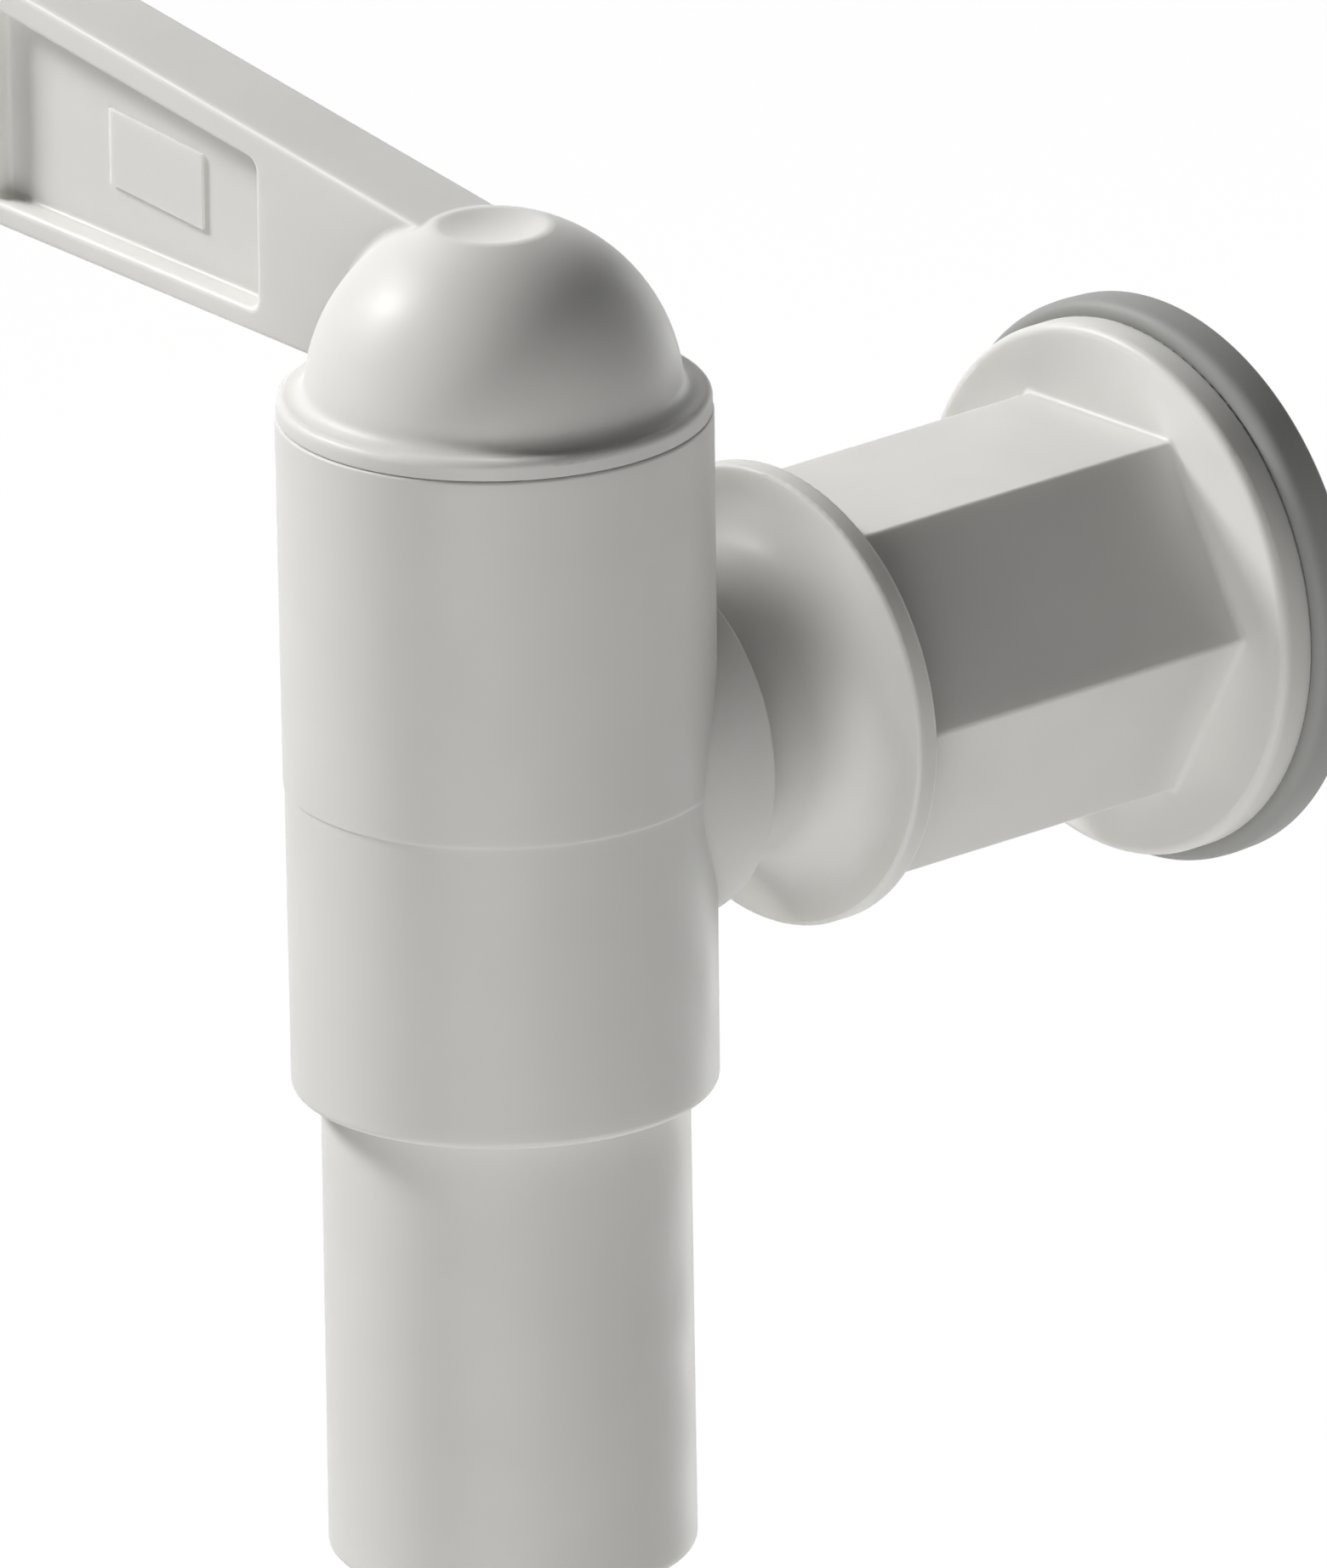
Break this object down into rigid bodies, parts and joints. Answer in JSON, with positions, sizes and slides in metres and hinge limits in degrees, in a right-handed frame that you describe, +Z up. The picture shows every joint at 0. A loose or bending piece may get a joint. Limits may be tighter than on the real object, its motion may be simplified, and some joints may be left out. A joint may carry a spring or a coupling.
{
  "type": "lever dispensing tap",
  "caption": "Moulded dispensing tap: a domed lever turns a hollow spout plug inside an upright sleeve, which swivels on a hexagon inlet with flange and gasket.",
  "frame": {"origin": "centre of the gasket's rear face, on the inlet's axis, where the tap seats on the tank wall", "axes": "+Y along the inlet into the tank, +Z up along the sleeve, and the closed lever points along -X"},
  "size_m": [0.0753, 0.0809, 0.1091],
  "materials": {
    "white_plastic": "satin moulded polyethylene",
    "grey_rubber": "matt moulded rubber",
    "black_rubber": "smooth moulded rubber",
    "acetal": "smooth moulded acetal"
  },
  "bodies": {
    "inlet": {"inlet_connector": "white_plastic", "flange_gasket": "grey_rubber"},
    "valve": {"valve_body": "white_plastic", "port_seal": "black_rubber", "swivel_o_ring": "black_rubber", "swivel_retaining_ring": "acetal"},
    "rotor": {"lever_cap": "white_plastic", "spout_plug": "white_plastic", "upper_plug_o_ring": "black_rubber", "lower_plug_o_ring": "black_rubber", "plug_retaining_ring": "acetal"}
  },
  "joints": [
    {"name": "body_swivel", "type": "hinge", "parent": "inlet", "child": "valve", "pos_m": [0, 0, 0], "axis": [0, 1, 0], "continuous": true},
    {"name": "lever_turn", "type": "hinge", "parent": "valve", "child": "rotor", "pos_m": [0, -0.0649, 0], "axis": [0, 0, 1], "range_deg": [0, 90]}
  ]
}
